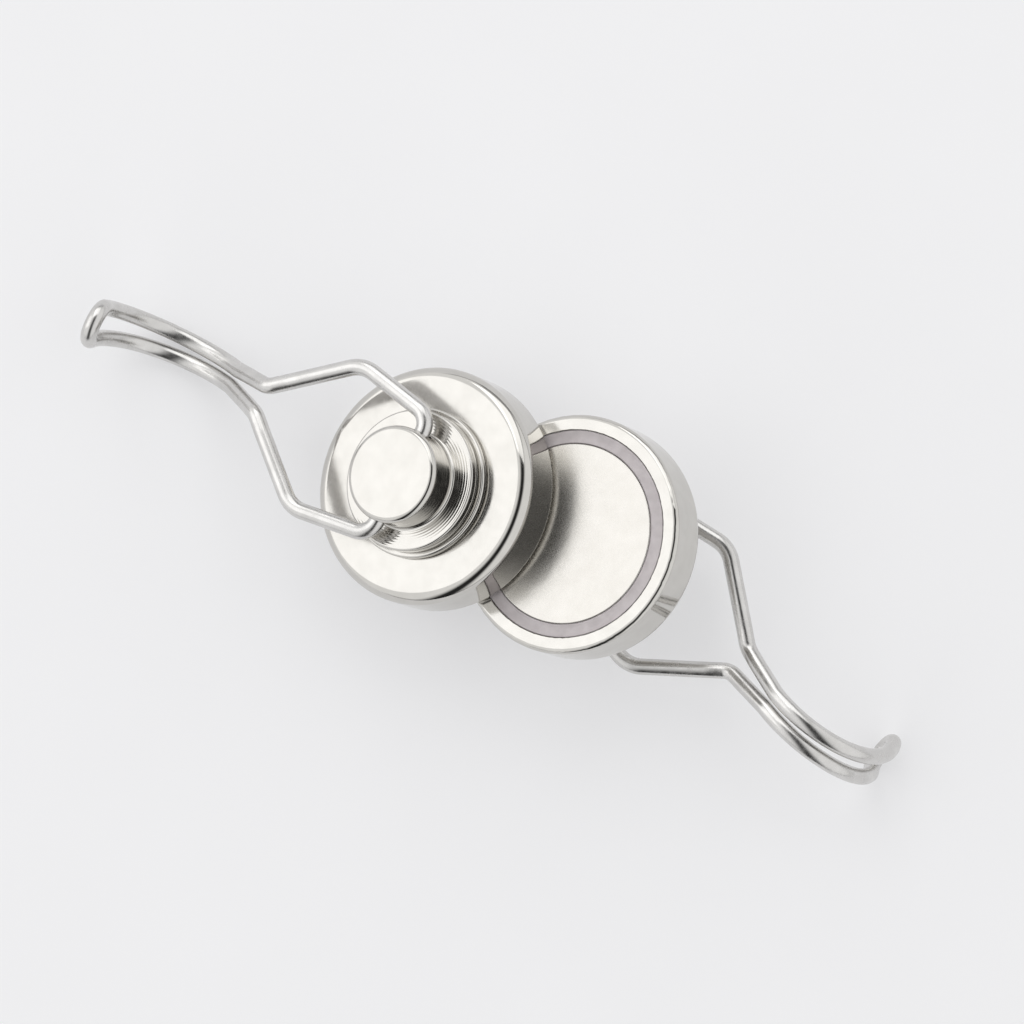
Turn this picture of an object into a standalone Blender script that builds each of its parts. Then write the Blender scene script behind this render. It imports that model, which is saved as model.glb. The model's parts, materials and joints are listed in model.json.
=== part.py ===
"""Two swivel magnet hooks, stuck together face to face and lying tilted on a flat surface.

Each unit is a steel cup with a magnet disc set in resin, a turned head that swivels on a screw, and a
bent wire hook that swings in the head's cross hole. Lengths are in metres and +Z is up. A unit's own
frame has its origin at the centre of the magnet face and its +Z towards the knob.
"""

import math

import bpy
from mathutils import Matrix, Vector

# Cup, magnet and resin
CUP_DIAMETER = 0.0320
CUP_HEIGHT = 0.0078
CUP_WALL = 0.0021
CUP_BACK = 0.0026
CUP_BACK_ROUND = 0.0018
CUP_RIM_EDGE = 0.0002
RESIN_WIDTH = 0.0019
MAGNET_EDGE = 0.0002
RESIN_RECESS = 0.00025

# Thrust washer and swivel head
WASHER_DIAMETER = 0.0202
WASHER_THICKNESS = 0.0010
FLANGE_DIAMETER = 0.0189
FLANGE_THICKNESS = 0.0018
KNOB_DIAMETER = 0.0130
KNOB_HEIGHT = 0.0050
KNOB_CHAMFER = 0.0006
KNOB_FILLET = 0.0004
TURNED_EDGE = 0.0002
CROSS_HOLE_RISE = 0.0024

# Countersunk screw that holds the head to the cup
SCREW_DIAMETER = 0.0038
SCREW_HEAD_DIAMETER = 0.0076
SCREW_TIP_CHAMFER = 0.0004
SCREW_TIP_BELOW_CROSS_HOLE = 0.0008
DRIVE_SOCKET_WIDTH = 0.0025
DRIVE_SOCKET_DEPTH = 0.0012

# Wire hook, measured on the wire's centre line from the swing axis
WIRE_DIAMETER = 0.0022
WIRE_GRIP = 0.0038
SHOULDER_STANDOFF = 0.0022
SHOULDER_BEND = 0.0018
ELBOW_REACH = 0.0119
ELBOW_SPREAD = 0.0106
ELBOW_BEND = 0.0030
NECK_REACH = 0.0227
NECK_SPREAD = 0.0020
NECK_BEND = 0.0025
SHANK_KINK = math.radians(29)
SHANK_LENGTH = 0.0078
BOWL_RADIUS = 0.0109
BOWL_END = math.radians(104)
TIP_SPREAD = 0.0024
LEAN_RUN = 0.0040

# Clearances
GLUE_GAP = 0.00015
SEAT_GAP = 0.0002
RUNNING_GAP = 0.0003
FACE_GAP = 0.0003
WIRE_GAP = 0.0003

# How the pair lies: the upper unit slid downhill, each head turned about its own axis, each hook's bowl
# bent a little to one side of its arms
PAIR_OFFSET = 0.0190
DOWNHILL_HEADING = math.radians(161.4)
UPPER_SWIVEL = math.radians(-9.9)
LOWER_SWIVEL = math.radians(203.9)
UPPER_LEAN = math.radians(-7.1)
LOWER_LEAN = math.radians(9.9)

# Facets
TURN_STEPS = 40
SCREW_STEPS = 20
HOLE_SIDES = 20
ROUND_STEPS = 4
BEND_STEPS = 4
BOWL_STEPS = 12
TIP_STEPS = 8
WIRE_BEVEL_RESOLUTION = 3
MERGE_DISTANCE = 0.00001

# Levels along a unit's axis, from the magnet face to the knob's end
POCKET_FLOOR = CUP_HEIGHT - CUP_BACK
WASHER_BASE = CUP_HEIGHT + SEAT_GAP
WASHER_TOP = WASHER_BASE + WASHER_THICKNESS
HEAD_BASE = WASHER_TOP + SEAT_GAP
FLANGE_TOP = HEAD_BASE + FLANGE_THICKNESS
KNOB_TOP = FLANGE_TOP + KNOB_HEIGHT
SWING_AXIS = FLANGE_TOP + CROSS_HOLE_RISE
SCREW_TIP = SWING_AXIS - SCREW_TIP_BELOW_CROSS_HOLE

CUP_RADIUS = CUP_DIAMETER / 2
CUP_BORE = CUP_RADIUS - CUP_WALL
MAGNET_DIAMETER = 2 * (CUP_BORE - RESIN_WIDTH)
SCREW_RADIUS = SCREW_DIAMETER / 2
SCREW_HEAD_RADIUS = SCREW_HEAD_DIAMETER / 2
SCREW_HOLE = SCREW_RADIUS + RUNNING_GAP
KNOB_RADIUS = KNOB_DIAMETER / 2
KNOB_FLAT = KNOB_RADIUS - KNOB_CHAMFER
WIRE_RADIUS = WIRE_DIAMETER / 2

# The pair leans until the lower knob's edge and the upper cup's rim both touch the surface.
PAIR_TILT = math.atan2(
    KNOB_TOP + FACE_GAP, PAIR_OFFSET + CUP_RADIUS - CUP_RIM_EDGE - KNOB_FLAT
)

NICKEL = (0.80, 0.79, 0.76)
SATIN_NICKEL = (0.70, 0.68, 0.64)
STEEL = (0.55, 0.55, 0.56)
LILAC_RESIN = (0.56, 0.54, 0.60)


def clear_scene():
    for old in list(bpy.data.objects):
        bpy.data.objects.remove(old, do_unlink=True)


def new_collection(name):
    collection = bpy.data.collections.new(name)
    bpy.context.scene.collection.children.link(collection)
    return collection


def new_material(name, colour, roughness, metallic):
    material = bpy.data.materials.new(name)
    material.use_nodes = True
    shader = material.node_tree.nodes["Principled BSDF"]
    shader.inputs["Base Color"].default_value = (*colour, 1)
    shader.inputs["Roughness"].default_value = roughness
    shader.inputs["Metallic"].default_value = metallic
    return material


def new_empty(name, parent, location=(0, 0, 0), rotation=(0, 0, 0)):
    empty = bpy.data.objects.new(name, None)
    empty.location = location
    empty.rotation_euler = rotation
    empty.parent = parent
    parts.objects.link(empty)
    return empty


def add_part(name, data, parent, material):
    obj = bpy.data.objects.new(name, data)
    obj.parent = parent
    data.materials.append(material)
    parts.objects.link(obj)
    return obj


def arc(centre_r, centre_z, radius, start, end, steps=ROUND_STEPS):
    """Points of a round corner in a turned profile, at angles from the outward direction."""
    turns = [math.radians(start + (end - start) * i / steps) for i in range(steps + 1)]
    return [(centre_r + radius * math.cos(t), centre_z + radius * math.sin(t)) for t in turns]


def turned(name, profile, parent, material, ring, steps=TURN_STEPS):
    """Turns a profile of (radius, height) points about the unit's axis. A ring's profile closes on itself."""
    count = len(profile)
    edges = [(i, i + 1) for i in range(count - 1)]
    if ring:
        edges.append((count - 1, 0))
    mesh = bpy.data.meshes.new(name)
    mesh.from_pydata([(r, 0, z) for r, z in profile], edges, [])
    obj = add_part(name, mesh, parent, material)
    screw = obj.modifiers.new("turn", "SCREW")
    screw.axis = "Z"
    screw.angle = math.tau
    screw.steps = steps
    screw.render_steps = steps
    screw.use_merge_vertices = True
    screw.merge_threshold = MERGE_DISTANCE
    screw.use_smooth_shade = True
    return obj


def cut_hole(obj, name, parent, radius, depth, location, rotation=(0, 0, 0), sides=HOLE_SIDES):
    """Cuts a straight hole through a part with a hidden cylinder."""
    bpy.ops.mesh.primitive_cylinder_add(vertices=sides, radius=radius, depth=depth)
    cutter = bpy.context.object
    cutter.name = name
    cutter.parent = parent
    cutter.location = location
    cutter.rotation_euler = rotation
    cutter.hide_render = True
    cutter.display_type = "WIRE"
    for home in list(cutter.users_collection):
        home.objects.unlink(cutter)
    cutters.objects.link(cutter)
    cut = obj.modifiers.new(name, "BOOLEAN")
    cut.operation = "DIFFERENCE"
    cut.solver = "EXACT"
    cut.object = cutter


def make_cup(unit, prefix):
    """Deep-drawn steel cup: rounded back edge, open face and a countersunk hole through the back."""
    round_centre = CUP_RADIUS - CUP_BACK_ROUND
    sink = SCREW_HEAD_RADIUS + RUNNING_GAP
    profile = [(SCREW_HOLE, CUP_HEIGHT)]
    profile += arc(round_centre, CUP_HEIGHT - CUP_BACK_ROUND, CUP_BACK_ROUND, 90, 0)
    profile += [
        (CUP_RADIUS, CUP_RIM_EDGE),
        (CUP_RADIUS - CUP_RIM_EDGE, 0),
        (CUP_BORE + CUP_RIM_EDGE, 0),
        (CUP_BORE, CUP_RIM_EDGE),
        (CUP_BORE, POCKET_FLOOR),
        (sink, POCKET_FLOOR),
        (SCREW_HOLE, POCKET_FLOOR + sink - SCREW_HOLE),
    ]
    material = new_material(prefix + "cup_nickel", NICKEL, 0.12, 1)
    turned(prefix + "cup", profile, unit, material, ring=True)


def make_magnet(unit, prefix):
    radius = MAGNET_DIAMETER / 2
    top = POCKET_FLOOR - GLUE_GAP
    profile = [
        (0, top),
        (radius - MAGNET_EDGE, top),
        (radius, top - MAGNET_EDGE),
        (radius, MAGNET_EDGE),
        (radius - MAGNET_EDGE, 0),
        (0, 0),
    ]
    material = new_material(prefix + "magnet_nickel", SATIN_NICKEL, 0.3, 1)
    turned(prefix + "magnet", profile, unit, material, ring=False)


def make_resin(unit, prefix):
    """Resin that fills the space between the magnet and the cup, a little below the face."""
    inner = MAGNET_DIAMETER / 2 + GLUE_GAP
    outer = CUP_BORE - GLUE_GAP
    top = POCKET_FLOOR - GLUE_GAP
    profile = [(inner, top), (outer, top), (outer, RESIN_RECESS), (inner, RESIN_RECESS)]
    material = new_material(prefix + "resin", LILAC_RESIN, 0.6, 0)
    turned(prefix + "resin_ring", profile, unit, material, ring=True)


def make_washer(unit, prefix):
    radius = WASHER_DIAMETER / 2
    profile = [
        (SCREW_HOLE, WASHER_TOP),
        (radius - TURNED_EDGE, WASHER_TOP),
        (radius, WASHER_TOP - TURNED_EDGE),
        (radius, WASHER_BASE + TURNED_EDGE),
        (radius - TURNED_EDGE, WASHER_BASE),
        (SCREW_HOLE, WASHER_BASE),
    ]
    material = new_material(prefix + "washer_nickel", NICKEL, 0.2, 1)
    turned(prefix + "thrust_washer", profile, unit, material, ring=True)


def make_head(swivel, prefix):
    """Flange and knob turned in one piece, with a cross hole for the wire and a tapped hole below."""
    flange = FLANGE_DIAMETER / 2
    tapped = SCREW_RADIUS + GLUE_GAP
    fillet_centre = KNOB_RADIUS + KNOB_FILLET
    profile = [(0, KNOB_TOP), (KNOB_FLAT, KNOB_TOP), (KNOB_RADIUS, KNOB_TOP - KNOB_CHAMFER)]
    profile += arc(fillet_centre, FLANGE_TOP + KNOB_FILLET, KNOB_FILLET, 180, 270, 2)
    profile += [
        (flange - TURNED_EDGE, FLANGE_TOP),
        (flange, FLANGE_TOP - TURNED_EDGE),
        (flange, HEAD_BASE + TURNED_EDGE),
        (flange - TURNED_EDGE, HEAD_BASE),
        (tapped, HEAD_BASE),
        (tapped, SWING_AXIS),
        (0, SWING_AXIS),
    ]
    material = new_material(prefix + "head_nickel", NICKEL, 0.1, 1)
    head = turned(prefix + "swivel_head", profile, swivel, material, ring=False)
    cut_hole(
        head,
        prefix + "cross_hole",
        swivel,
        radius=WIRE_RADIUS + WIRE_GAP,
        depth=KNOB_DIAMETER * 2,
        location=(0, 0, SWING_AXIS),
        rotation=(math.pi / 2, 0, 0),
    )


def make_screw(swivel, prefix):
    """Countersunk screw from inside the cup, with a hexagon socket under the magnet."""
    base = POCKET_FLOOR + SEAT_GAP
    neck = base + SCREW_HEAD_RADIUS - SCREW_RADIUS
    profile = [
        (0, SCREW_TIP),
        (SCREW_RADIUS - SCREW_TIP_CHAMFER, SCREW_TIP),
        (SCREW_RADIUS, SCREW_TIP - SCREW_TIP_CHAMFER),
        (SCREW_RADIUS, neck),
        (SCREW_HEAD_RADIUS, base),
        (0, base),
    ]
    material = new_material(prefix + "screw_steel", STEEL, 0.35, 1)
    screw = turned(prefix + "swivel_screw", profile, swivel, material, ring=False, steps=SCREW_STEPS)
    cut_hole(
        screw,
        prefix + "drive_socket",
        swivel,
        radius=DRIVE_SOCKET_WIDTH / math.sqrt(3),
        depth=DRIVE_SOCKET_DEPTH * 2,
        location=(0, 0, base),
        sides=6,
    )


def bend(before, corner, after, radius):
    """Points of a rounded bend of the wire between two straight runs."""
    back = (before - corner).normalized()
    ahead = (after - corner).normalized()
    half = back.angle(ahead) / 2
    set_back = radius / math.tan(half)
    centre = corner + (back + ahead).normalized() * radius / math.sin(half)
    start = corner + back * set_back - centre
    axis = start.cross(corner + ahead * set_back - centre)
    sweep = math.pi - 2 * half
    turns = [Matrix.Rotation(sweep * i / BEND_STEPS, 3, axis) for i in range(BEND_STEPS + 1)]
    return [centre + turn @ start for turn in turns]


def half_wire():
    """Centre line of one side of the hook, from its end in the cross hole to the tip's round bend.

    X runs out from the swing axis, Y along it, and Z to the side that the tip turns to.
    """
    end = Vector((0, KNOB_RADIUS - WIRE_GRIP, 0))
    shoulder = Vector((0, KNOB_RADIUS + SHOULDER_STANDOFF, 0))
    elbow = Vector((ELBOW_REACH, ELBOW_SPREAD, 0))
    neck = Vector((NECK_REACH, NECK_SPREAD, 0))
    pinch = WIRE_RADIUS + WIRE_GAP / 2
    along = Vector((math.cos(SHANK_KINK), 0, -math.sin(SHANK_KINK)))
    shank = Vector((NECK_REACH, pinch, 0)) + along * SHANK_LENGTH
    points = [end]
    points += bend(end, shoulder, elbow, SHOULDER_BEND)
    points += bend(shoulder, elbow, neck, ELBOW_BEND)
    points += bend(elbow, neck, shank, NECK_BEND)
    centre = shank + Vector((math.sin(SHANK_KINK), 0, math.cos(SHANK_KINK))) * BOWL_RADIUS
    for i in range(BOWL_STEPS + 1):
        share = i / BOWL_STEPS
        angle = -SHANK_KINK + (BOWL_END + SHANK_KINK) * share
        spread = (TIP_SPREAD - pinch) * share**2
        radial = Vector((math.sin(angle), 0, -math.cos(angle)))
        points.append(centre + radial * BOWL_RADIUS + Vector((0, spread, 0)))
    return points


def leaned(point, lean):
    """Turns the wire past its neck about the hook's length, so that the bowl leans to one side."""
    share = (point.x - NECK_REACH) / LEAN_RUN + 0.5
    return Matrix.Rotation(lean * min(max(share, 0), 1), 3, "X") @ point


def wire_path(lean):
    """Centre line of the whole hook: one side, the round bend at the tip, and the other side back."""
    side = half_wire()
    ahead = Vector((math.cos(BOWL_END), 0, math.sin(BOWL_END)))
    middle = side[-1] * Vector((1, 0, 1))
    tip = []
    for i in range(1, TIP_STEPS):
        turn = math.pi * i / TIP_STEPS
        tip.append(middle + ahead * TIP_SPREAD * math.sin(turn) + Vector((0, TIP_SPREAD * math.cos(turn), 0)))
    mirrored = [point * Vector((1, -1, 1)) for point in reversed(side)]
    return [leaned(point, lean) for point in side + tip + mirrored]


def make_hook(swing, prefix, path):
    curve = bpy.data.curves.new(prefix + "wire_hook", "CURVE")
    curve.dimensions = "3D"
    curve.bevel_depth = WIRE_RADIUS
    curve.bevel_resolution = WIRE_BEVEL_RESOLUTION
    curve.use_fill_caps = True
    spline = curve.splines.new("POLY")
    spline.points.add(len(path) - 1)
    for point, place in zip(spline.points, path):
        point.co = (*place, 1)
    spline.use_smooth = True
    material = new_material(prefix + "wire_nickel", NICKEL, 0.15, 1)
    add_part(prefix + "wire_hook", curve, swing, material)


def resting_swing(swivel_frame, path):
    """Angle above the cup's plane at which the hook's wire comes to lie on the surface."""

    def lowest(angle):
        place = swivel_frame @ Matrix.Translation((0, 0, SWING_AXIS)) @ Matrix.Rotation(-angle, 4, "Y")
        return min((place @ point).z for point in path) - WIRE_RADIUS

    low, high = math.radians(-20), math.radians(90)
    up = lowest(math.radians(90)) > lowest(math.radians(-20))
    for _ in range(40):
        middle = (low + high) / 2
        if (lowest(middle) > 0) == up:
            high = middle
        else:
            low = middle
    return (low + high) / 2


def make_unit(prefix, unit_frame, swivel_turn, lean):
    """One magnet hook: everything but the frames is built in the unit's own coordinates."""
    unit = new_empty(prefix + "unit", root)
    unit.matrix_local = unit_frame
    turn = Matrix.Rotation(swivel_turn, 4, "Z")
    swivel = new_empty(prefix + "swivel", unit, rotation=(0, 0, swivel_turn))
    path = wire_path(lean)
    angle = resting_swing(Matrix.Translation(root.location) @ unit_frame @ turn, path)
    swing = new_empty(prefix + "swing", swivel, (0, 0, SWING_AXIS), (0, -angle, 0))
    make_cup(unit, prefix)
    make_magnet(unit, prefix)
    make_resin(unit, prefix)
    make_washer(unit, prefix)
    make_head(swivel, prefix)
    make_screw(swivel, prefix)
    make_hook(swing, prefix, path)


def centre_on_origin():
    """Moves the pair so that the middle of its outline stands over the origin."""
    bpy.context.view_layer.update()
    graph = bpy.context.evaluated_depsgraph_get()
    corners = []
    for obj in parts.objects:
        if obj.type == "EMPTY":
            continue
        evaluated = obj.evaluated_get(graph)
        mesh = evaluated.to_mesh()
        corners += [obj.matrix_world @ vertex.co for vertex in mesh.vertices]
        evaluated.to_mesh_clear()
    for i, axis in enumerate("xyz"):
        low = min(corner[i] for corner in corners)
        high = max(corner[i] for corner in corners)
        root.location[i] -= low if axis == "z" else (low + high) / 2


clear_scene()
parts = new_collection("swivel_magnet_hook_pair")
cutters = new_collection("cutters")
cutters.hide_render = True

# The root stands on the surface under the middle of the faces that meet.
face_height = KNOB_TOP * math.cos(PAIR_TILT) + KNOB_FLAT * math.sin(PAIR_TILT)
root = new_empty("pair", None, location=(0, 0, face_height))
tilt = Matrix.Rotation(DOWNHILL_HEADING, 4, "Z") @ Matrix.Rotation(PAIR_TILT, 4, "Y")
face_down = Matrix.Rotation(math.pi, 4, "X")
make_unit("lower_", tilt @ face_down, LOWER_SWIVEL, LOWER_LEAN)
make_unit("upper_", tilt @ Matrix.Translation((PAIR_OFFSET, 0, FACE_GAP)), UPPER_SWIVEL, UPPER_LEAN)
centre_on_origin()
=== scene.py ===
"""Looks of the swivel magnet hook pair.

Bright turned nickel, bent wire and magnets set in resin, under a pale studio tent.
"""

import json
import math

import bpy
import bmesh
import numpy as np
from mathutils import Matrix, Vector, noise


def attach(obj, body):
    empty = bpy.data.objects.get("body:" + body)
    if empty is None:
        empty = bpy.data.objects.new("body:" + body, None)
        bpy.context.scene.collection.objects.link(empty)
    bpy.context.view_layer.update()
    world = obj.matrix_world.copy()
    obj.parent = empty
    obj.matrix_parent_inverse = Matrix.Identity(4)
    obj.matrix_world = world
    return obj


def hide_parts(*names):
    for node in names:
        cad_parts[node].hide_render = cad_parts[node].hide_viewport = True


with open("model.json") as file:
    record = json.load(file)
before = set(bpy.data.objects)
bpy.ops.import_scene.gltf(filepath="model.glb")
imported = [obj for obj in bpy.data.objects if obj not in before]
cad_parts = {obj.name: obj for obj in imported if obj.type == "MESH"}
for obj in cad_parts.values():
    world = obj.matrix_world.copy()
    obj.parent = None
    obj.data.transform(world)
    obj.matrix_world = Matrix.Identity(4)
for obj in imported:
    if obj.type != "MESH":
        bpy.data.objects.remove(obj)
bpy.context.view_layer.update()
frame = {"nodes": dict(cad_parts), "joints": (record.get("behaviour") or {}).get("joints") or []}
joints = {joint["name"]: joint for joint in frame["joints"]}

# Sizes of one unit in metres. Heights run along its axis from the magnet face to the knob's end
CUP_RADIUS = 0.0160
CUP_HEIGHT = 0.0078
CUP_WALL = 0.0021
CUP_BACK = 0.0026
CUP_BACK_ROUND = 0.0018
CUP_RIM_ROUND = 0.0008
CUP_BORE_ROUND = 0.00008
SCREW_HOLE = 0.0022
SCREW_SINK = 0.0041
RESIN_WIDTH = 0.0019
RESIN_RECESS = 0.00025
RESIN_EDGE = 0.00010
RESIN_SEAM = 0.00004
MAGNET_ROUND = 0.00014
GLUE_GAP = 0.00015
TURNING_GAP = 0.0002
WASHER_RADIUS = 0.0101
WASHER_THICKNESS = 0.0010
FLANGE_RADIUS = 0.00945
FLANGE_THICKNESS = 0.0018
KNOB_RADIUS = 0.0065
KNOB_HEIGHT = 0.0050
KNOB_EDGE = 0.0008
KNOB_FILLET = 0.0004
TURNED_ROUND = 0.0003
TAPPED_HOLE = 0.00205
CROSS_HOLE_RISE = 0.0024

CUP_BORE = CUP_RADIUS - CUP_WALL
MAGNET_RADIUS = CUP_BORE - RESIN_WIDTH
POCKET_FLOOR = CUP_HEIGHT - CUP_BACK
FILL_TOP = POCKET_FLOOR - GLUE_GAP
WASHER_BASE = CUP_HEIGHT + TURNING_GAP
WASHER_TOP = WASHER_BASE + WASHER_THICKNESS
HEAD_BASE = WASHER_TOP + TURNING_GAP
FLANGE_TOP = HEAD_BASE + FLANGE_THICKNESS
KNOB_TOP = FLANGE_TOP + KNOB_HEIGHT
SWING_AXIS = FLANGE_TOP + CROSS_HOLE_RISE

# Traces of the making: ragged rim edges, the uneven resin and the flange's tool rings
BORE_BURR = 0.00005
RIM_BURR = 0.00012
BURR_WAVES = 38
FINE_BURR_WAVES = 90
FINE_BURR_SHARE = 0.6
RESIN_SWELL = 0.00006
RESIN_SWELL_WAVES = 6
RESIN_SWELL_ACROSS = 900
TOOL_RING_PITCH = 0.00036
TOOL_RING_DEPTH = 0.000005
TOOL_RING_POINTS = 6
TOOL_RING_FADE = 12

# The wire's centre line, from the swing axis
WIRE_RADIUS = 0.0011
WIRE_GAP = 0.0003
WIRE_GRIP = 0.0038
SHOULDER_STANDOFF = 0.0022
SHOULDER_BEND = 0.0025
ELBOW = Vector((0.0119, 0.0106, 0))
ELBOW_BEND = 0.0042
NECK = Vector((0.0227, 0.0020, 0))
NECK_BEND = 0.0025
SHANK_KINK = math.radians(29)
SHANK_LENGTH = 0.0078
BOWL_RADIUS = 0.0109
BOWL_END = math.radians(104)
TIP_SPREAD = 0.0024
LEAN_RUN = 0.0040
UPPER_LEAN = math.radians(-7.1)
LOWER_LEAN = math.radians(9.9)
DROOP_LIMIT = math.radians(20)

# Fineness of the meshes
TURN_STEPS = 224
ROUND_STEPS = 8
BEND_STEPS = 14
BOWL_STEPS = 60
TIP_STEPS = 28
WIRE_SIDES = 32
WIRE_SPACING = 0.0008
WELD_DISTANCE = 1e-7
HEAD_SHARP = math.radians(35)
WIRE_SHARP = math.radians(50)

# Colours of the materials, from their darker to their lighter shade
NICKEL_SHADES = ((0.585, 0.57, 0.54), (0.625, 0.61, 0.58))
WIRE_SHADES = ((0.61, 0.60, 0.585), (0.69, 0.68, 0.665))
SCREW_SHADES = ((0.48, 0.48, 0.49), (0.60, 0.60, 0.61))
MAGNET_SHADES = ((0.605, 0.585, 0.55), (0.645, 0.625, 0.592))
RESIN_SHADES = ((0.50, 0.46, 0.465), (0.60, 0.555, 0.56))
FLOOR_SHADES = ((0.93, 0.93, 0.94), (0.95, 0.95, 0.96))

# Roughness of the materials, from their glossier to their duller spots
CUP_ROUGH = (0.06, 0.12)
CUP_FLAT_ROUGH = 0.06
TURNED_ROUGH = (0.08, 0.16)
WIRE_ROUGH = (0.19, 0.30)
SCREW_ROUGH = (0.30, 0.45)
MAGNET_ROUGH = (0.23, 0.30)
RESIN_ROUGH = (0.45, 0.65)
FLOOR_ROUGH = 0.9
FLOOR_SHINE = 0.1

# Heights of the materials' bumps in metres. The plated grain is a share of the peel
CUP_PEEL = 0.00001
TURNED_PEEL = 0.000002
WIRE_PEEL = 0.000004
SCREW_PEEL = 0.000006
PLATE_GRAIN_SHARE = 0.05
MAGNET_GRAIN = 0.000002
MAGNET_SWELL = 0.000012
RESIN_BUMP = 0.00003

# Fineness of the materials' noise, in cells per metre
PLATE_TONE_CELLS = 420
PLATE_GLOSS_CELLS = 900
PLATE_PEEL_CELLS = 260
PLATE_GRAIN_CELLS = 2600
MAGNET_TONE_CELLS = 500
MAGNET_GLOSS_CELLS = 7000
MAGNET_GRAIN_CELLS = 9000
MAGNET_SWELL_CELLS = 500
RESIN_TONE_CELLS = 700
RESIN_GLOSS_CELLS = 2500
RESIN_BUMP_CELLS = 1500
FLOOR_TONE_CELLS = 30

# The part of a noise's range that is used, and how square to the axis a flat counts
TEXTURE_LOW = 0.3
TEXTURE_HIGH = 0.7
FLAT_FROM = 0.97
FLAT_FULL = 0.998

# Camera, fitted to the photograph
CAMERA_PLACE = (-0.003131, 0.001011, 0.543625)
CAMERA_TILT = (0.00584, -0.01037, 0.0)
CAMERA_LENS = 140.6
CAMERA_SENSOR = 36.0
CAMERA_NEAR = 0.01

# Studio: a paper floor, and a tent whose walls stand left and right with a dark gap overhead
FLOOR_SIZE = 6.0
FLOOR_DROP = 0.0001
FLOOR_GLOW = 0.95
FLOOR_GLOW_COLOUR = (0.985, 0.985, 1, 1)
FLOOR_GLOW_SHARE = 0.42
TENT_ACROSS = (-0.97, 0.24, 0.0)
TENT_STRENGTH = 1.0

# Brightness of the tent, as (position, level) stops along a direction's part across, up or back
WALL_LEVELS = [(0.0, 0.02), (0.15, 0.04), (0.28, 0.6), (0.40, 1.0)]
HORIZON_LEVELS = [(0.0, 0.35), (0.06, 0.60), (0.14, 1.0)]
BACK_LEVELS = [(0.45, 0.0), (0.65, 0.45)]
LEFT_LEVELS = [(0.45, 0.0), (0.70, 1.0)]

# Softboxes: where they stand in metres, their width, their power in watts, and the point they face
LEFT_SOFTBOX_PLACE = (-0.9, 0.3, 0.57)
LEFT_SOFTBOX_SIZE = 0.85
LEFT_SOFTBOX_POWER = 1.32
KEY_SOFTBOX_PLACE = (0.05, 1.15, 0.90)
KEY_SOFTBOX_SIZE = 1.2
KEY_SOFTBOX_POWER = 5.0
SOFTBOX_AIM = Vector((0, 0, 0.01))


def skin(name, rings, closed, capped):
    """Mesh object over rings of points, each ring closed on itself."""
    rings = np.asarray(rings, float)
    count, sides = rings.shape[:2]
    corners = np.arange(count * sides).reshape(count, sides)
    faces = []
    last = count if closed else count - 1
    for i in range(last):
        here = corners[i]
        ahead = corners[(i + 1) % count]
        for j in range(sides):
            k = (j + 1) % sides
            faces.append((here[j], ahead[j], ahead[k], here[k]))
    if capped:
        faces.append(tuple(corners[0]))
        faces.append(tuple(corners[-1][::-1]))
    mesh = bpy.data.meshes.new(name)
    mesh.from_pydata(rings.reshape(-1, 3).tolist(), [], faces)
    work = bmesh.new()
    work.from_mesh(mesh)
    bmesh.ops.remove_doubles(work, verts=work.verts, dist=WELD_DISTANCE)
    bmesh.ops.recalc_face_normals(work, faces=work.faces)
    work.to_mesh(mesh)
    work.free()
    mesh.shade_smooth()
    obj = bpy.data.objects.new(name, mesh)
    bpy.context.scene.collection.objects.link(obj)
    return obj


def rounded(points):
    """Turns (radius, height, corner round) points into a profile with round corners."""
    profile = []
    for i, (r, z, size) in enumerate(points):
        corner = Vector((r, z))
        if not size:
            profile.append(corner)
            continue
        back = (Vector(points[i - 1][:2]) - corner).normalized()
        ahead = (Vector(points[(i + 1) % len(points)][:2]) - corner).normalized()
        half = back.angle(ahead) / 2
        centre = corner + (back + ahead).normalized() * size / math.sin(half)
        start = corner + back * size / math.tan(half) - centre
        end = corner + ahead * size / math.tan(half) - centre
        sweep = start.angle_signed(end)
        for step in range(ROUND_STEPS + 1):
            turn = Matrix.Rotation(-sweep * step / ROUND_STEPS, 2)
            profile.append(centre + turn @ start)
    return profile


def even_shading(obj):
    """Lets large faces decide the shading, so that flats stay flat beside their rounds."""
    weighted = obj.modifiers.new("even shading", "WEIGHTED_NORMAL")
    weighted.weight = 100
    return weighted


def turned(name, profile, closed, wobble=None):
    """Turns a profile about the unit's axis.

    Wobble moves a point: from its turn, radius and height to a new radius and height.
    """
    rings = []
    for r, z in profile:
        ring = []
        for step in range(TURN_STEPS):
            turn = math.tau * step / TURN_STEPS
            radius, height = wobble(turn, r, z) if wobble else (r, z)
            ring.append((radius * math.cos(turn), radius * math.sin(turn), height))
        rings.append(ring)
    obj = skin(name, rings, closed, capped=False)
    even_shading(obj)
    return obj


def tool_rings(inner, outer, height):
    """Profile points of a turned face with fine tool rings between two radii."""
    count = int((outer - inner) / TOOL_RING_PITCH * TOOL_RING_POINTS)
    made = []
    for i in range(1, count):
        share = i / count
        fade = min(1, share * TOOL_RING_FADE, (1 - share) * TOOL_RING_FADE)
        wave = math.sin(math.tau * i / TOOL_RING_POINTS) * TOOL_RING_DEPTH * fade
        made.append(Vector((inner + (outer - inner) * share, height + wave)))
    return made


def shader_of(name):
    """A new material, with its node tree and its main shader."""
    material = bpy.data.materials.new(name)
    material.use_nodes = True
    tree = material.node_tree
    return material, tree, tree.nodes["Principled BSDF"]


def add(tree, kind, **inputs):
    """Adds a shader node and sets its inputs by name."""
    node = tree.nodes.new(kind)
    for key, value in inputs.items():
        node.inputs[key.replace("_", " ")].default_value = value
    return node


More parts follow.
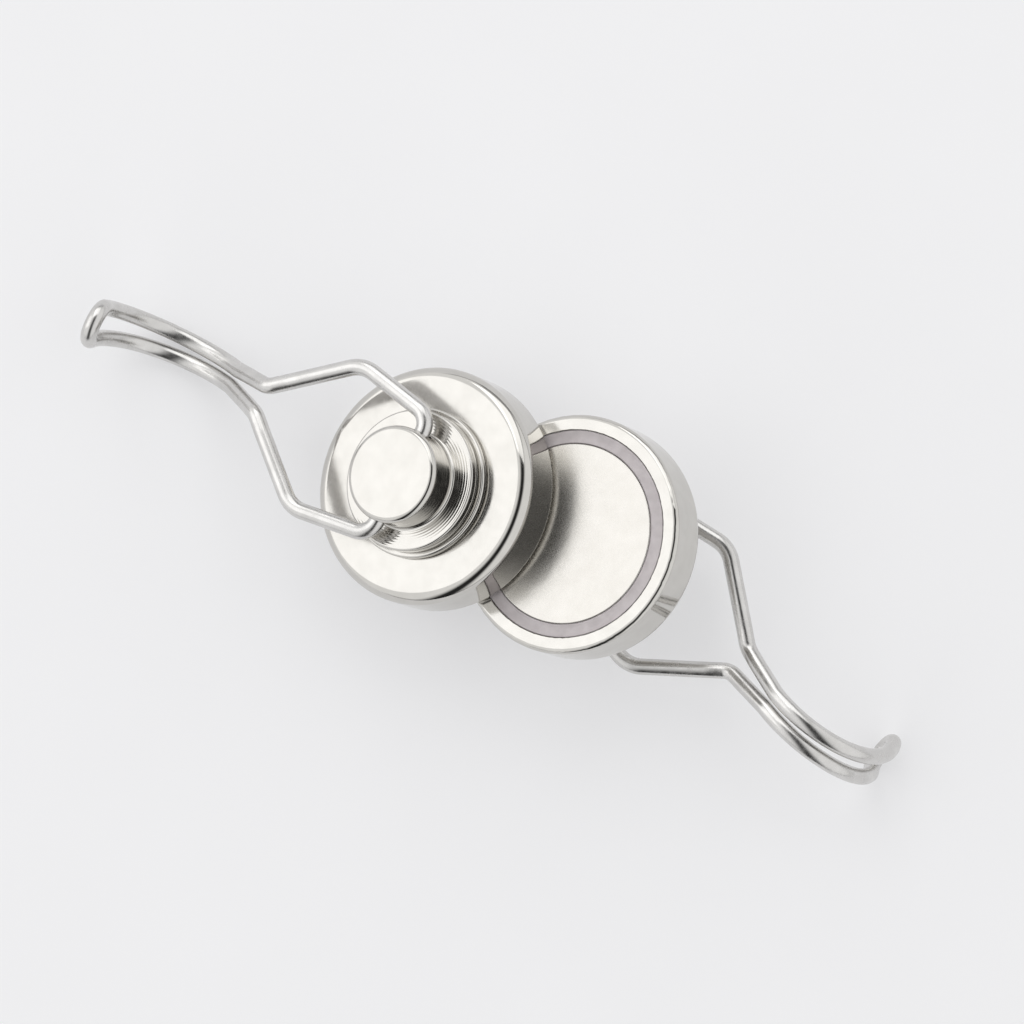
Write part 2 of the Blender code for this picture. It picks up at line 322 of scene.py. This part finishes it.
def calculate(tree, operation, *values):
    """A shader value worked out from others, which are outputs of nodes or plain numbers."""
    node = tree.nodes.new("ShaderNodeMath")
    node.operation = operation
    for socket, value in zip(node.inputs, values):
        if isinstance(value, float):
            socket.default_value = value
        else:
            tree.links.new(value, socket)
    return node.outputs["Value"]


def along(tree, direction, axis):
    """How far a direction points along an axis."""
    dot = tree.nodes.new("ShaderNodeVectorMath")
    dot.operation = "DOT_PRODUCT"
    dot.inputs[1].default_value = axis
    tree.links.new(direction, dot.inputs[0])
    return dot.outputs["Value"]


def levels(tree, source, stops):
    """Brightness along a value from 0 to 1, through (position, level) stops."""
    ramp = tree.nodes.new("ShaderNodeValToRGB")
    while len(ramp.color_ramp.elements) < len(stops):
        ramp.color_ramp.elements.new(0.5)
    for element, (position, level) in zip(ramp.color_ramp.elements, stops):
        element.position = position
        element.color = (level, level, level, 1)
    tree.links.new(source, ramp.inputs["Fac"])
    return ramp.outputs["Color"]


def mottle(tree, scale, detail=3.0):
    """Noise over the piece's own coordinates, in cells per metre."""
    place = tree.nodes.new("ShaderNodeTexCoord")
    cells = add(tree, "ShaderNodeTexNoise", Scale=scale, Detail=detail)
    tree.links.new(place.outputs["Object"], cells.inputs["Vector"])
    return cells.outputs["Fac"]


def spread(tree, source, low, high):
    """Maps a texture to a range of values."""
    used = {"From_Min": TEXTURE_LOW, "From_Max": TEXTURE_HIGH}
    ramp = add(tree, "ShaderNodeMapRange", **used, To_Min=low, To_Max=high)
    tree.links.new(source, ramp.inputs["Value"])
    return ramp.outputs["Result"]


def tint(tree, source, shades):
    """Colour that runs between two shades along a texture."""
    ramp = tree.nodes.new("ShaderNodeValToRGB")
    for element, position, shade in zip(ramp.color_ramp.elements, (TEXTURE_LOW, TEXTURE_HIGH), shades):
        element.position = position
        element.color = (*shade, 1)
    tree.links.new(source, ramp.inputs["Fac"])
    return ramp.outputs["Color"]


def relief(tree, source, height, under=None):
    """Bump of a height in metres, over another bump where one is given."""
    bump = add(tree, "ShaderNodeBump", Strength=1.0, Distance=height)
    tree.links.new(source, bump.inputs["Height"])
    if under:
        tree.links.new(under, bump.inputs["Normal"])
    return bump.outputs["Normal"]


def squareness(tree, axis):
    """1 where the piece's surface lies square to an axis, 0 on its edges and sides."""
    place = tree.nodes.new("ShaderNodeTexCoord")
    size = calculate(tree, "ABSOLUTE", along(tree, place.outputs["Normal"], axis))
    ramp = add(tree, "ShaderNodeMapRange", From_Min=FLAT_FROM, From_Max=FLAT_FULL)
    tree.links.new(size, ramp.inputs["Value"])
    return ramp.outputs["Result"]


def nickel(name, shades, rough, peel, flat_rough=0.0):
    """Plated metal with an uneven tone and gloss, a faint orange peel, and flats that may be duller."""
    material, tree, shader = shader_of(name)
    shader.inputs["Metallic"].default_value = 1.0
    tone = tint(tree, mottle(tree, PLATE_TONE_CELLS), shades)
    tree.links.new(tone, shader.inputs["Base Color"])
    gloss = spread(tree, mottle(tree, PLATE_GLOSS_CELLS), *rough)
    if flat_rough:
        gloss = calculate(tree, "MULTIPLY_ADD", squareness(tree, pair_axis), flat_rough, gloss)
    tree.links.new(gloss, shader.inputs["Roughness"])
    broad = relief(tree, mottle(tree, PLATE_PEEL_CELLS, detail=1.0), peel)
    grain = mottle(tree, PLATE_GRAIN_CELLS, detail=2.0)
    fine = relief(tree, grain, peel * PLATE_GRAIN_SHARE, broad)
    tree.links.new(fine, shader.inputs["Normal"])
    return material


def satin(name):
    """Magnet plating: slightly warm, finely grained and gently uneven."""
    material, tree, shader = shader_of(name)
    shader.inputs["Metallic"].default_value = 1.0
    tone = tint(tree, mottle(tree, MAGNET_TONE_CELLS, detail=6.0), MAGNET_SHADES)
    tree.links.new(tone, shader.inputs["Base Color"])
    gloss = spread(tree, mottle(tree, MAGNET_GLOSS_CELLS, detail=4.0), *MAGNET_ROUGH)
    tree.links.new(gloss, shader.inputs["Roughness"])
    grain = relief(tree, mottle(tree, MAGNET_GRAIN_CELLS), MAGNET_GRAIN)
    swell = relief(tree, mottle(tree, MAGNET_SWELL_CELLS, detail=2.0), MAGNET_SWELL, grain)
    tree.links.new(swell, shader.inputs["Normal"])
    return material


def cast_resin(name):
    """Matte lilac-grey resin with a slightly uneven pour."""
    material, tree, shader = shader_of(name)
    tone = tint(tree, mottle(tree, RESIN_TONE_CELLS, detail=5.0), RESIN_SHADES)
    tree.links.new(tone, shader.inputs["Base Color"])
    gloss = spread(tree, mottle(tree, RESIN_GLOSS_CELLS), *RESIN_ROUGH)
    tree.links.new(gloss, shader.inputs["Roughness"])
    pour = relief(tree, mottle(tree, RESIN_BUMP_CELLS, detail=4.0), RESIN_BUMP)
    tree.links.new(pour, shader.inputs["Normal"])
    return material


def make_cup(name):
    """Drawn cup with a soft back edge and a ragged, slightly burred rim."""
    profile = rounded([
        (SCREW_HOLE, CUP_HEIGHT, 0),
        (CUP_RADIUS, CUP_HEIGHT, CUP_BACK_ROUND),
        (CUP_RADIUS, 0, CUP_RIM_ROUND),
        (CUP_BORE, 0, CUP_BORE_ROUND),
        (CUP_BORE, POCKET_FLOOR, 0),
        (SCREW_SINK, POCKET_FLOOR, 0),
        (SCREW_HOLE, POCKET_FLOOR + SCREW_SINK - SCREW_HOLE, 0),
    ])

    def burr(turn, r, z):
        if z > CUP_RIM_ROUND:
            return r, z
        around = Vector((math.cos(turn), math.sin(turn), 0))
        ragged = noise.noise(around * BURR_WAVES) + FINE_BURR_SHARE * noise.noise(around * FINE_BURR_WAVES)
        if r < CUP_BORE + 2 * CUP_BORE_ROUND:
            return r + BORE_BURR * ragged, z
        edge = min(1, max(0, (r - CUP_RADIUS) / CUP_RIM_ROUND + 1)) * (1 - z / CUP_RIM_ROUND)
        return r + RIM_BURR * ragged * edge, z

    return turned(name, profile, True, burr)


def make_magnet(name):
    """Magnet disc with slightly broken edges."""
    profile = rounded([
        (0, FILL_TOP, 0),
        (MAGNET_RADIUS, FILL_TOP, MAGNET_ROUND),
        (MAGNET_RADIUS, 0, MAGNET_ROUND),
        (0, 0, 0),
    ])
    return turned(name, profile, False)


def make_resin(name):
    """Resin ring whose open side dips between the magnet and the rim."""
    inner = MAGNET_RADIUS + RESIN_SEAM
    outer = CUP_BORE - RESIN_SEAM
    profile = [Vector((inner, FILL_TOP)), Vector((outer, FILL_TOP))]
    for i in range(ROUND_STEPS + 1):
        share = i / ROUND_STEPS
        dip = (RESIN_RECESS - RESIN_EDGE) * math.sin(math.pi * share)
        profile.append(Vector((outer + (inner - outer) * share, RESIN_EDGE + dip)))

    def uneven(turn, r, z):
        if z > FILL_TOP / 2:
            return r, z
        around = Vector((math.cos(turn), math.sin(turn), 0)) * RESIN_SWELL_WAVES
        swell = noise.noise(around + Vector((0, 0, r * RESIN_SWELL_ACROSS)))
        return r, z + RESIN_SWELL * swell

    return turned(name, profile, True, uneven)


def make_washer(name):
    """Thin ring under the head, with round edges."""
    profile = rounded([
        (SCREW_HOLE, WASHER_TOP, 0),
        (WASHER_RADIUS, WASHER_TOP, TURNED_ROUND),
        (WASHER_RADIUS, WASHER_BASE, TURNED_ROUND),
        (SCREW_HOLE, WASHER_BASE, 0),
    ])
    return turned(name, profile, True)


def make_head(name):
    """Flange and knob turned in one piece, with tool rings on the flange and a hole across the knob."""
    shape = rounded([
        (0, KNOB_TOP, 0),
        (KNOB_RADIUS, KNOB_TOP, KNOB_EDGE),
        (KNOB_RADIUS, FLANGE_TOP, KNOB_FILLET),
        (FLANGE_RADIUS, FLANGE_TOP, TURNED_ROUND),
        (FLANGE_RADIUS, HEAD_BASE, TURNED_ROUND),
        (TAPPED_HOLE, HEAD_BASE, 0),
        (TAPPED_HOLE, SWING_AXIS, 0),
        (0, SWING_AXIS, 0),
    ])
    fillet_end = 1 + 2 * (ROUND_STEPS + 1)
    rings = tool_rings(shape[fillet_end - 1].x, FLANGE_RADIUS - TURNED_ROUND, FLANGE_TOP)
    head = turned(name, shape[:fillet_end] + rings + shape[fillet_end:], False)
    hole = WIRE_RADIUS + WIRE_GAP
    reach = KNOB_RADIUS * 2
    profile = [Vector((0, reach)), Vector((hole, reach)), Vector((hole, -reach)), Vector((0, -reach))]
    cutter = turned(name + "_bore", profile, False)
    cutter.matrix_world = Matrix.Translation((0, 0, SWING_AXIS)) @ Matrix.Rotation(math.pi / 2, 4, "X")
    cut = head.modifiers.new("cross hole", "BOOLEAN")
    cut.object = cutter
    cut.solver = "EXACT"
    bpy.context.view_layer.update()
    graph = bpy.context.evaluated_depsgraph_get()
    mesh = bpy.data.meshes.new_from_object(head.evaluated_get(graph))
    head.modifiers.clear()
    head.data = mesh
    bpy.data.objects.remove(cutter)
    mesh.set_sharp_from_angle(angle=HEAD_SHARP)
    even_shading(head).keep_sharp = True
    return head


def bend(before, corner, after, radius):
    """Points of a rounded bend of the wire between two straight runs."""
    back = (before - corner).normalized()
    ahead = (after - corner).normalized()
    half = back.angle(ahead) / 2
    set_back = radius / math.tan(half)
    centre = corner + (back + ahead).normalized() * radius / math.sin(half)
    start = corner + back * set_back - centre
    axis = start.cross(corner + ahead * set_back - centre)
    step = (math.pi - 2 * half) / BEND_STEPS
    return [centre + Matrix.Rotation(step * i, 3, axis) @ start for i in range(BEND_STEPS + 1)]


def leaned(point, lean):
    """Turns the wire past its neck about the hook's length, so that the bowl leans to one side."""
    share = (point.x - NECK.x) / LEAN_RUN + 0.5
    return Matrix.Rotation(lean * min(max(share, 0), 1), 3, "X") @ point


def evened(path):
    """The same path with extra points along its straight runs."""
    points = [path[0]]
    for point in path[1:]:
        start = points[-1]
        count = max(1, round((point - start).length / WIRE_SPACING))
        points += [start.lerp(point, i / count) for i in range(1, count + 1)]
    return points


def wire_path(lean):
    """Centre line of the hook. X runs out from the swing axis, Y along it, Z to the tip's side."""
    end = Vector((0, KNOB_RADIUS - WIRE_GRIP, 0))
    shoulder = Vector((0, KNOB_RADIUS + SHOULDER_STANDOFF, 0))
    pinch = WIRE_RADIUS + WIRE_GAP / 2
    down = Vector((math.cos(SHANK_KINK), 0, -math.sin(SHANK_KINK)))
    shank = Vector((NECK.x, pinch, 0)) + down * SHANK_LENGTH
    side = [end]
    side += bend(end, shoulder, ELBOW, SHOULDER_BEND)
    side += bend(shoulder, ELBOW, NECK, ELBOW_BEND)
    side += bend(ELBOW, NECK, shank, NECK_BEND)
    centre = shank + Vector((math.sin(SHANK_KINK), 0, math.cos(SHANK_KINK))) * BOWL_RADIUS
    for i in range(BOWL_STEPS + 1):
        share = i / BOWL_STEPS
        angle = -SHANK_KINK + (BOWL_END + SHANK_KINK) * share
        radial = Vector((math.sin(angle), 0, -math.cos(angle)))
        side.append(centre + radial * BOWL_RADIUS + Vector((0, (TIP_SPREAD - pinch) * share**2, 0)))
    ahead = Vector((math.cos(BOWL_END), 0, math.sin(BOWL_END)))
    middle = side[-1] * Vector((1, 0, 1))
    tip = []
    for i in range(1, TIP_STEPS):
        turn = math.pi * i / TIP_STEPS
        across = Vector((0, math.cos(turn), 0))
        tip.append(middle + (ahead * math.sin(turn) + across) * TIP_SPREAD)
    path = side + tip + [point * Vector((1, -1, 1)) for point in reversed(side)]
    return [leaned(point, lean) for point in evened(path)]


def make_wire(name, lean):
    """Round wire along the hook's path, with flat cut ends inside the cross hole."""
    path = wire_path(lean)
    turns = [math.tau * j / WIRE_SIDES for j in range(WIRE_SIDES)]
    rings = []
    across = Vector((0, 0, 1))
    last = len(path) - 1
    for i, point in enumerate(path):
        run = (path[min(i + 1, last)] - path[max(i - 1, 0)]).normalized()
        across = (across - run * across.dot(run)).normalized()
        side = run.cross(across)
        ring = [point + (across * math.cos(t) + side * math.sin(t)) * WIRE_RADIUS for t in turns]
        rings.append([tuple(corner) for corner in ring])
    wire = skin(name, rings, closed=False, capped=True)
    wire.data.set_sharp_from_angle(angle=WIRE_SHARP)
    return wire


def unit_frames(prefix, side):
    """Where a unit and its hook stand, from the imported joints. Side is 1 for the upper unit, else -1."""
    swivel_joint = joints[prefix + "swivel_turn"]
    swing_joint = joints[prefix + "hook_swing"]
    face = Vector(swivel_joint["pos_m"])
    up = (Vector(swivel_joint["axis"]) * side).normalized()
    across = -Vector(swing_joint["axis"]).normalized()
    out = across.cross(up).normalized()
    rows = Matrix((out, up.cross(out), up)).transposed()
    unit = Matrix.Translation(face) @ rows.to_4x4()
    rest = -DROOP_LIMIT - math.radians(swing_joint["range_deg"][0])
    hook = unit @ Matrix.Translation((0, 0, SWING_AXIS)) @ Matrix.Rotation(-rest, 4, "Y")
    return unit, hook


def put(obj, place, body, node, slot_name):
    """Places a finished piece in its unit, on its body, for its node, in its slot's material."""
    obj.data.transform(place)
    obj.data.materials.append(looks[slot_name])
    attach(obj, body)
    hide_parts(node)


def make_unit(prefix, side, lean):
    """One magnet hook: its pieces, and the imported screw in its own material."""
    unit, hook = unit_frames(prefix, side)
    turned_pieces = [
        (make_cup, "cup_drawn", "magnet_body", "cup", "cup_nickel"),
        (make_magnet, "magnet_disc", "magnet_body", "magnet", "magnet_nickel"),
        (make_resin, "resin_pour", "magnet_body", "resin_ring", "resin"),
        (make_washer, "washer_ring", "magnet_body", "thrust_washer", "turned_nickel"),
        (make_head, "head_turned", "swivel", "swivel_head", "turned_nickel"),
    ]
    for make, name, body, node, slot_name in turned_pieces:
        put(make(prefix + name), unit, prefix + body, prefix + node, slot_name)
    put(make_wire(prefix + "hook_wire", lean), hook, prefix + "hook", prefix + "wire_hook", "wire_nickel")
    screw = frame["nodes"][prefix + "swivel_screw"]
    screw.data.materials.clear()
    screw.data.materials.append(looks["screw_steel"])


def make_floor():
    """Paper floor that keeps the object's shadow and shows pale to the camera and in the metal."""
    mesh = bpy.data.meshes.new("floor")
    half = FLOOR_SIZE / 2
    corners = [(-half, -half, 0), (half, -half, 0), (half, half, 0), (-half, half, 0)]
    mesh.from_pydata(corners, [], [(0, 1, 2, 3)])
    floor = bpy.data.objects.new("floor", mesh)
    floor.location.z = -FLOOR_DROP
    bpy.context.scene.collection.objects.link(floor)
    material, tree, shader = shader_of("floor_paper")
    shader.inputs["Roughness"].default_value = FLOOR_ROUGH
    shader.inputs["Specular IOR Level"].default_value = FLOOR_SHINE
    tone = tint(tree, mottle(tree, FLOOR_TONE_CELLS), FLOOR_SHADES)
    tree.links.new(tone, shader.inputs["Base Color"])
    glow = add(tree, "ShaderNodeEmission", Color=FLOOR_GLOW_COLOUR, Strength=FLOOR_GLOW)
    path = tree.nodes.new("ShaderNodeLightPath")
    seen = calculate(tree, "MAXIMUM", path.outputs["Is Camera Ray"], path.outputs["Is Glossy Ray"])
    seen = calculate(tree, "MAXIMUM", seen, path.outputs["Is Transmission Ray"])
    mix = tree.nodes.new("ShaderNodeMixShader")
    tree.links.new(calculate(tree, "MULTIPLY", seen, FLOOR_GLOW_SHARE), mix.inputs["Fac"])
    tree.links.new(shader.outputs["BSDF"], mix.inputs[1])
    tree.links.new(glow.outputs["Emission"], mix.inputs[2])
    tree.links.new(mix.outputs["Shader"], tree.nodes["Material Output"].inputs["Surface"])
    mesh.materials.append(material)


def make_world():
    """White tent walls left and right, a dark gap between them, grey to the back, and a dimmer horizon."""
    world = bpy.data.worlds.new("studio")
    bpy.context.scene.world = world
    world.use_nodes = True
    tree = world.node_tree
    direction = tree.nodes.new("ShaderNodeTexCoord").outputs["Generated"]
    split = tree.nodes.new("ShaderNodeSeparateXYZ")
    tree.links.new(direction, split.inputs["Vector"])
    across = along(tree, direction, TENT_ACROSS)
    walls = levels(tree, calculate(tree, "ABSOLUTE", across), WALL_LEVELS)
    back = levels(tree, split.outputs["Y"], BACK_LEVELS)
    horizon = levels(tree, split.outputs["Z"], HORIZON_LEVELS)
    left = levels(tree, across, LEFT_LEVELS)
    tent = calculate(tree, "MAXIMUM", walls, back)
    light = calculate(tree, "MULTIPLY", tent, calculate(tree, "MAXIMUM", horizon, left))
    tree.links.new(light, tree.nodes["Background"].inputs["Color"])
    tree.nodes["Background"].inputs["Strength"].default_value = TENT_STRENGTH


def make_softbox(name, place, size, power):
    """Square softbox aimed at the object."""
    light = bpy.data.lights.new(name, "AREA")
    light.size = size
    light.energy = power
    obj = bpy.data.objects.new(name, light)
    obj.location = place
    obj.rotation_euler = (SOFTBOX_AIM - obj.location).to_track_quat("-Z", "Y").to_euler()
    bpy.context.scene.collection.objects.link(obj)


def make_camera():
    """Long lens from straight above, as in the photograph."""
    camera = bpy.data.cameras.new("camera")
    camera.lens = CAMERA_LENS
    camera.sensor_width = CAMERA_SENSOR
    camera.clip_start = CAMERA_NEAR
    obj = bpy.data.objects.new("camera", camera)
    obj.location = CAMERA_PLACE
    obj.rotation_euler = CAMERA_TILT
    bpy.context.scene.collection.objects.link(obj)
    bpy.context.scene.camera = obj


pair_axis = joints["upper_swivel_turn"]["axis"]
looks = {
    "cup_nickel": nickel("cup_bright_nickel", NICKEL_SHADES, CUP_ROUGH, CUP_PEEL, CUP_FLAT_ROUGH),
    "turned_nickel": nickel("turned_bright_nickel", NICKEL_SHADES, TURNED_ROUGH, TURNED_PEEL),
    "wire_nickel": nickel("wire_bright_nickel", WIRE_SHADES, WIRE_ROUGH, WIRE_PEEL),
    "screw_steel": nickel("screw_zinc_steel", SCREW_SHADES, SCREW_ROUGH, SCREW_PEEL),
    "magnet_nickel": satin("magnet_satin_nickel"),
    "resin": cast_resin("lilac_resin"),
}
make_unit("upper_", 1, UPPER_LEAN)
make_unit("lower_", -1, LOWER_LEAN)
make_floor()
make_world()
make_softbox("left_softbox", LEFT_SOFTBOX_PLACE, LEFT_SOFTBOX_SIZE, LEFT_SOFTBOX_POWER)
make_softbox("key_softbox", KEY_SOFTBOX_PLACE, KEY_SOFTBOX_SIZE, KEY_SOFTBOX_POWER)
make_camera()
bpy.context.scene.view_settings.view_transform = "Standard"
